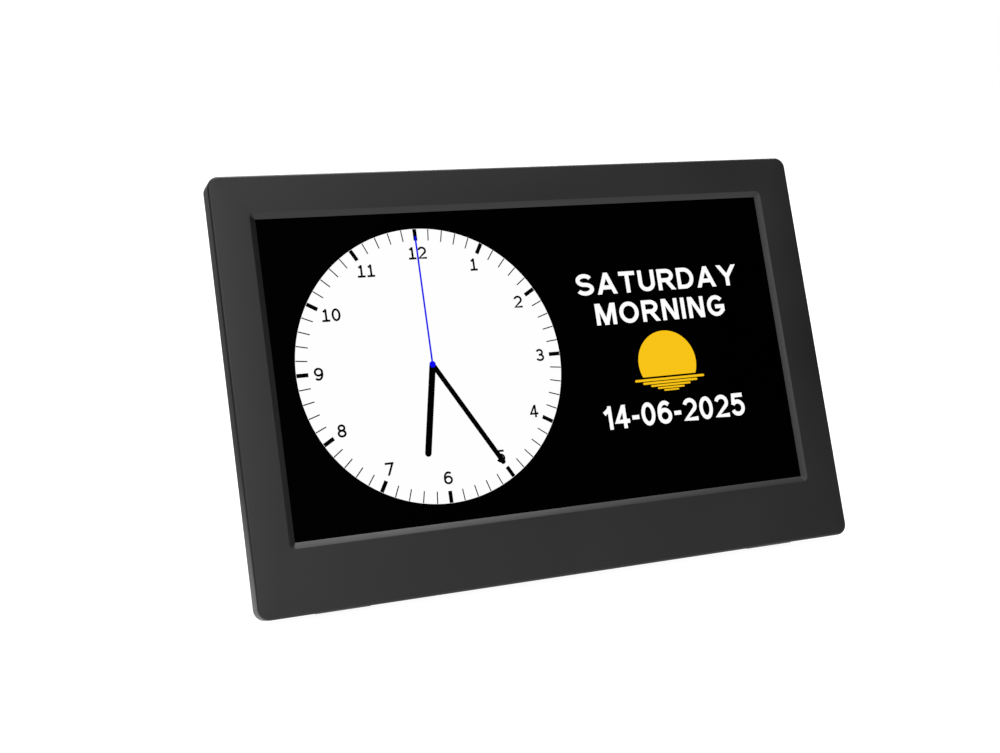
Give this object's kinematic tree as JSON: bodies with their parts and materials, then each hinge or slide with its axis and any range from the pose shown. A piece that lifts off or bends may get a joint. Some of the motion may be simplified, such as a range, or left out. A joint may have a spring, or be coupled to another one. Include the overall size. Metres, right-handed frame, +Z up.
{
  "type": "day clock",
  "caption": "Slim table day clock: wide lit screen in a charcoal frame, leaning back on a fold-out leg, with a shallow electronics box, key row, sockets and wall keyholes behind.",
  "frame": {"origin": "middle of the footprint's bounding box, on the surface that the clock stands on", "axes": "+Z up; the screen faces -Y, leaning back by 21.6 degrees; +X to the right of someone who looks at the screen"},
  "size_m": [0.2584, 0.0816, 0.1607],
  "materials": {
    "frame_plastic": "fine satin mould texture",
    "cover_plastic": "fine matte mould texture",
    "leg_plastic": "fine matte mould texture",
    "key_plastic": "satin",
    "black_rubber": "matte",
    "display_glass": "gloss, dark when unlit",
    "black_steel": "thin black paint",
    "bright_steel": "rolled sheet",
    "white_plastic": "matte",
    "clear_plastic": "clear, polished",
    "film": "frosted",
    "circuit_board": "solder mask",
    "chip_plastic": "moulded epoxy",
    "dark_plastic": "moulded",
    "can_metal": "drawn",
    "tinned_steel": "tin plated",
    "nickel_pin": "nickel plated",
    "cable_film": "laminated",
    "copper_film": "polyimide",
    "foam": "closed-cell foam",
    "paper_cone": "pressed pulp",
    "magnet_ferrite": "sintered",
    "wire_cover": "flexible sleeve",
    "screw_black": "black oxide",
    "label_film": "blank, satin"
  },
  "bodies": {
    "clock": {"front_frame": "frame_plastic", "rear_cover": "cover_plastic", "lcd_front_frame": "black_steel", "lcd_glass": "display_glass", "lcd_mould_frame": "white_plastic", "prism_film": "film", "diffuser_film": "film", "light_guide": "clear_plastic", "reflector_film": "film", "led_strip": "circuit_board", "lcd_rear_tray": "bright_steel", "lcd_driver_board": "circuit_board", "lcd_flex": "copper_film", "foam_strips": "foam", "main_board": "circuit_board", "processor": "chip_plastic", "memory_chips": "chip_plastic", "power_parts": "can_metal", "cell_holder": "dark_plastic", "coin_cell": "bright_steel", "power_inlet": "dark_plastic", "power_inlet_pin": "nickel_pin", "usb_socket": "tinned_steel", "usb_tongue": "white_plastic", "card_socket": "tinned_steel", "board_connectors": "white_plastic", "display_cable": "cable_film", "key_board": "circuit_board", "switch_bodies": "dark_plastic", "key_cable": "cable_film", "speaker_frame": "black_steel", "speaker_magnet": "magnet_ferrite", "speaker_cone": "paper_cone", "speaker_gasket": "foam", "speaker_lead": "wire_cover", "case_screws": "screw_black", "board_screws": "bright_steel", "speaker_screws": "bright_steel", "front_feet": "black_rubber", "hinge_pin": "bright_steel", "rating_label": "label_film"},
    "leg": {"stand_leg": "leg_plastic", "stand_boot": "black_rubber"},
    "key_power_body": {"key_power": "key_plastic", "plunger_power": "dark_plastic"},
    "key_menu_body": {"key_menu": "key_plastic", "plunger_menu": "dark_plastic"},
    "key_up_body": {"key_up": "key_plastic", "plunger_up": "dark_plastic"},
    "key_down_body": {"key_down": "key_plastic", "plunger_down": "dark_plastic"},
    "key_left_body": {"key_left": "key_plastic", "plunger_left": "dark_plastic"},
    "key_right_body": {"key_right": "key_plastic", "plunger_right": "dark_plastic"},
    "key_exit_body": {"key_exit": "key_plastic", "plunger_exit": "dark_plastic"}
  },
  "joints": [
    {"name": "leg_fold", "type": "hinge", "parent": "clock", "child": "leg", "pos_m": [0, 0.00566, 0.06338], "axis": [-1, 0, 0], "range_deg": [0, 48.6]},
    {"name": "press_power", "type": "slide", "parent": "clock", "child": "key_power_body", "axis": [0, -0.9298, 0.3681], "range_m": [0, 0.0005], "stiffness_N_per_m": 2000, "springref_m": -0.0003},
    {"name": "press_menu", "type": "slide", "parent": "clock", "child": "key_menu_body", "axis": [0, -0.9298, 0.3681], "range_m": [0, 0.0005], "stiffness_N_per_m": 2000, "springref_m": -0.0003},
    {"name": "press_up", "type": "slide", "parent": "clock", "child": "key_up_body", "axis": [0, -0.9298, 0.3681], "range_m": [0, 0.0005], "stiffness_N_per_m": 2000, "springref_m": -0.0003},
    {"name": "press_down", "type": "slide", "parent": "clock", "child": "key_down_body", "axis": [0, -0.9298, 0.3681], "range_m": [0, 0.0005], "stiffness_N_per_m": 2000, "springref_m": -0.0003},
    {"name": "press_left", "type": "slide", "parent": "clock", "child": "key_left_body", "axis": [0, -0.9298, 0.3681], "range_m": [0, 0.0005], "stiffness_N_per_m": 2000, "springref_m": -0.0003},
    {"name": "press_right", "type": "slide", "parent": "clock", "child": "key_right_body", "axis": [0, -0.9298, 0.3681], "range_m": [0, 0.0005], "stiffness_N_per_m": 2000, "springref_m": -0.0003},
    {"name": "press_exit", "type": "slide", "parent": "clock", "child": "key_exit_body", "axis": [0, -0.9298, 0.3681], "range_m": [0, 0.0005], "stiffness_N_per_m": 2000, "springref_m": -0.0003}
  ]
}
